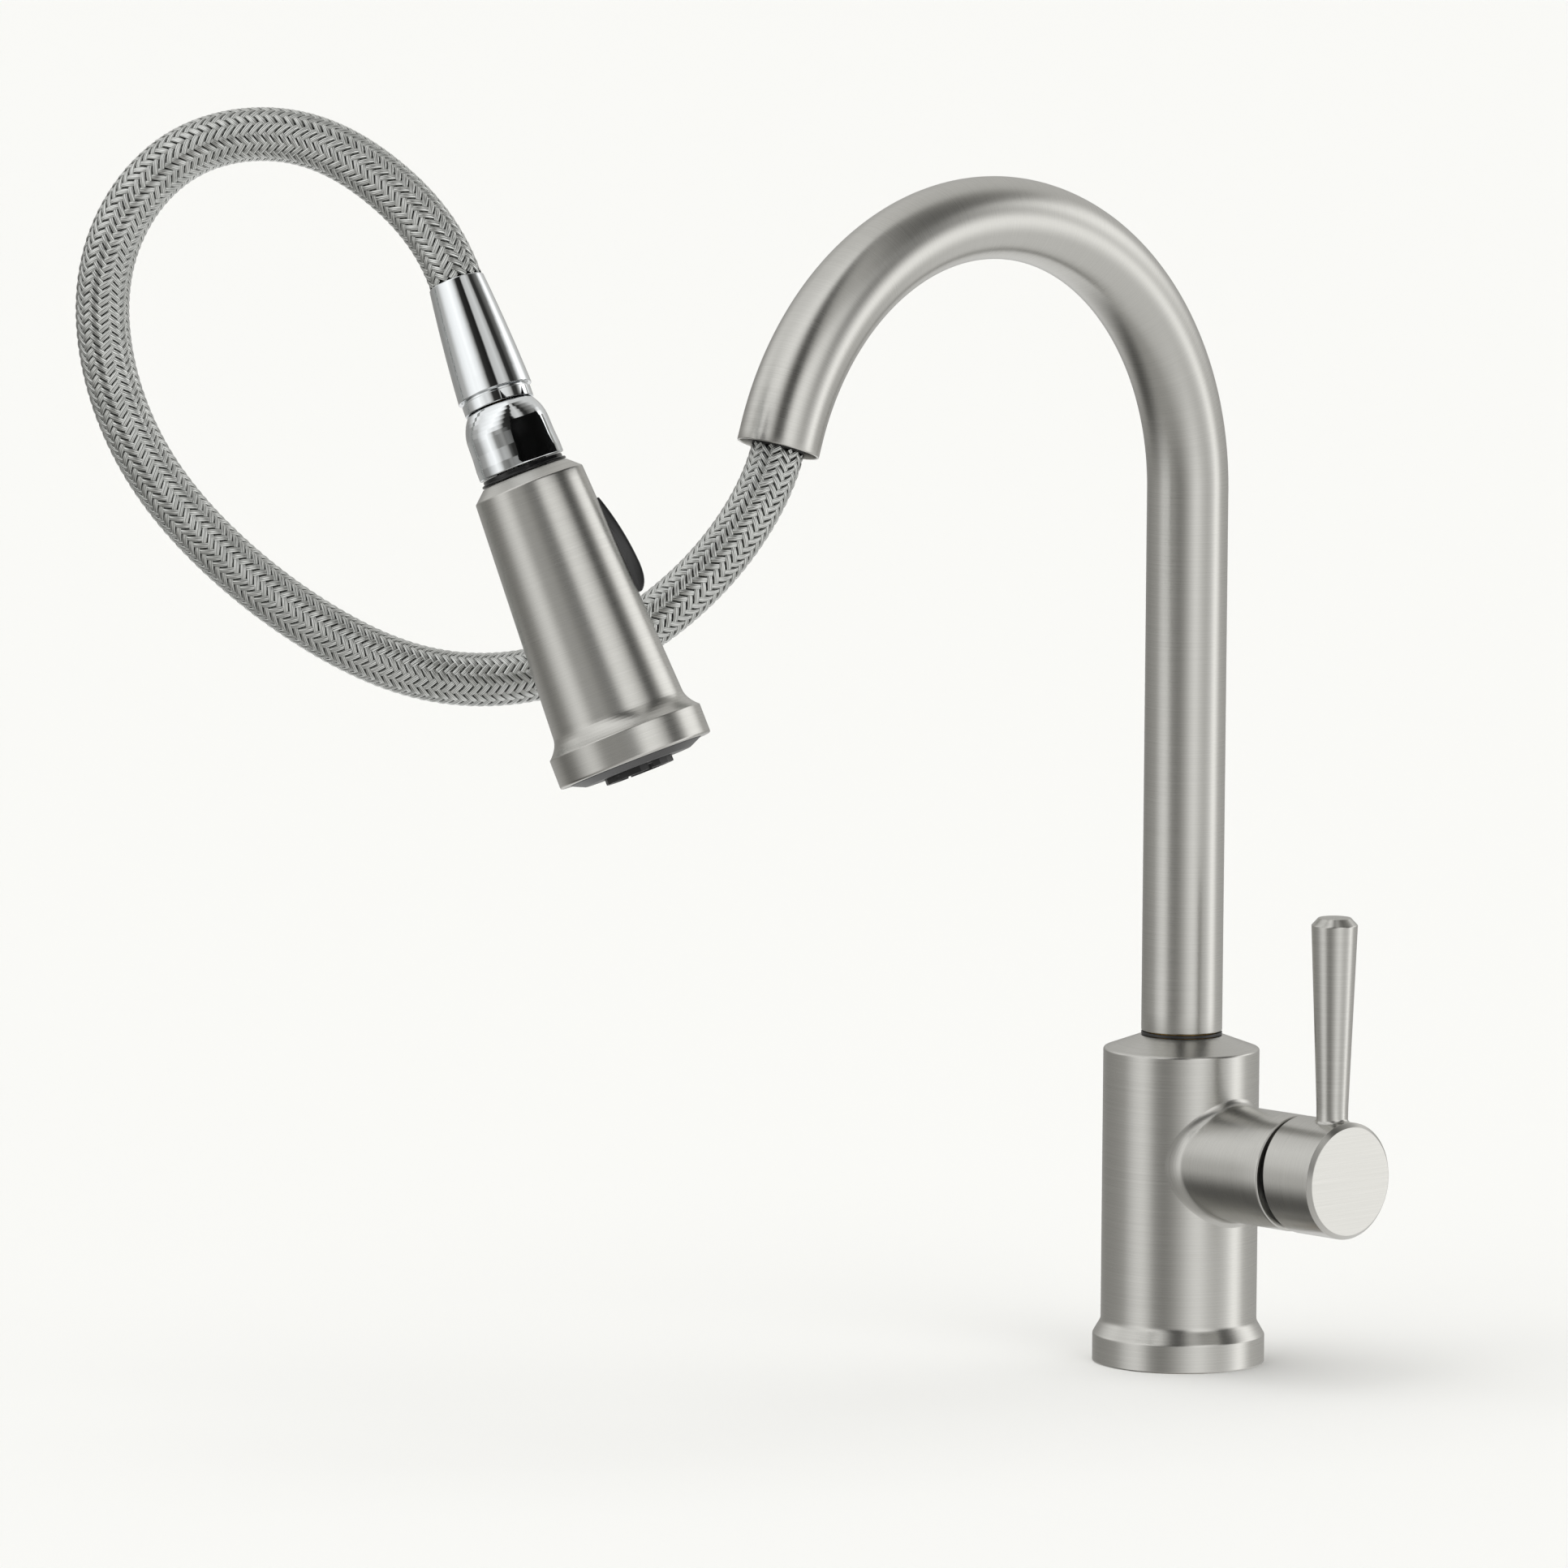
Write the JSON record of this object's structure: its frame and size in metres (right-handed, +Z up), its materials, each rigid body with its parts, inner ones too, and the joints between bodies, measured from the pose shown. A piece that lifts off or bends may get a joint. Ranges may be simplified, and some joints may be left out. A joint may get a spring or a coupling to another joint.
{
  "type": "pull-down kitchen faucet",
  "caption": "Pull-down kitchen faucet with a swivelling gooseneck spout, a side lever valve and a spray wand on a braided hose.",
  "frame": {"origin": "centre of the base's underside, on the deck", "axes": "+Z up, the spout reaches towards -Y, the handle is on +X"},
  "size_m": [0.2165, 0.3655, 0.5328],
  "materials": {
    "nickel": "satin",
    "chrome": "polished",
    "brass": "machined",
    "steel": "satin",
    "copper": "drawn",
    "braid": "woven",
    "black": "gloss",
    "rubber": "matt",
    "acetal": "matt",
    "ceramic": "smooth",
    "silicone": "matt"
  },
  "bodies": {
    "base": {"body_shell": "nickel", "base_gasket": "rubber", "mounting_shank": "brass", "deck_rubber_washer": "rubber", "deck_steel_washer": "steel", "mounting_nut": "brass", "nut_screw_1": "steel", "nut_screw_2": "steel", "valve_housing": "brass", "hot_inlet_tube": "copper", "cold_inlet_tube": "copper", "mixed_outlet_tube": "copper", "hot_inlet_fitting": "brass", "cold_inlet_fitting": "brass", "mixed_outlet_fitting": "brass", "cartridge_shell": "acetal", "fixed_ceramic_disc": "ceramic", "cartridge_nut": "brass", "dome_cap": "steel", "spout_upper_bushing": "acetal", "spout_lower_bushing": "acetal", "hose_in_body": "braid", "hose_connector": "brass"},
    "spout": {"spout_tube": "nickel", "spout_glide_ring": "black", "spout_spigot": "brass", "spout_o_ring": "rubber", "retaining_ring": "steel", "hose_guide": "acetal", "hose_in_spout": "braid", "pull_hose": "braid", "docking_cone": "chrome", "ball_stem": "brass"},
    "valve_turn": {"stem_carrier": "acetal", "stem_pin": "steel"},
    "handle": {"cartridge_stem": "brass", "handle_hub": "nickel", "handle_set_screw": "steel", "handle_lever": "nickel"},
    "disc": {"moving_ceramic_disc": "ceramic", "disc_carrier": "acetal"},
    "ball_joint": {"ball_seat": "acetal"},
    "bell": {"bell_nut": "chrome", "ball_seal": "rubber"},
    "wand": {"wand_collar": "black", "wand_shell": "nickel", "wand_waterway": "acetal", "check_valve": "acetal", "button_pin": "steel", "nozzle_mat": "silicone", "spray_face": "black", "aerator_housing": "black", "aerator_screen": "steel"},
    "button": {"rocker_button": "black"},
    "spool": {"diverter_spool": "acetal"}
  },
  "joints": [
    {"name": "spout_swivel", "type": "hinge", "parent": "base", "child": "spout", "pos_m": [0, 0, 0.1], "axis": [0, 0, 1], "continuous": true},
    {"name": "handle_temperature", "type": "hinge", "parent": "base", "child": "valve_turn", "pos_m": [0.048, 0, 0.0653], "axis": [1, 0, 0], "range_deg": [-45, 45]},
    {"name": "handle_flow", "type": "hinge", "parent": "valve_turn", "child": "handle", "pos_m": [0.048, 0, 0.0653], "axis": [0, 1, 0], "range_deg": [0, 12]},
    {"name": "disc_travel", "type": "slide", "parent": "valve_turn", "child": "disc", "axis": [0, 0, 1], "range_m": [0, 0.0017]},
    {"name": "wand_tilt_along", "type": "hinge", "parent": "spout", "child": "ball_joint", "pos_m": [-0.0212, -0.2655, 0.3064], "axis": [-0.7496, -0.5368, -0.3872], "range_deg": [-2, 18]},
    {"name": "wand_tilt_across", "type": "hinge", "parent": "ball_joint", "child": "bell", "pos_m": [-0.0212, -0.2655, 0.3064], "axis": [-0.5635, 0.8245, -0.052], "range_deg": [-8, 8]},
    {"name": "wand_spin", "type": "hinge", "parent": "bell", "child": "wand", "pos_m": [-0.0212, -0.2655, 0.3064], "axis": [-0.3472, -0.1792, 0.9205], "continuous": true},
    {"name": "button_rock", "type": "hinge", "parent": "wand", "child": "button", "pos_m": [-0.00251, -0.24644, 0.27045], "axis": [-0.8882, 0.3779, -0.2615], "range_deg": [0, 5]},
    {"name": "spool_travel", "type": "slide", "parent": "wand", "child": "spool", "axis": [-0.301, -0.9083, -0.2904], "range_m": [0, 0.0009]}
  ],
  "couplings": [
    {"joint": "disc_travel", "follows": "handle_flow", "m_per_rad": 0.0068},
    {"joint": "spool_travel", "follows": "button_rock", "m_per_rad": 0.009}
  ]
}
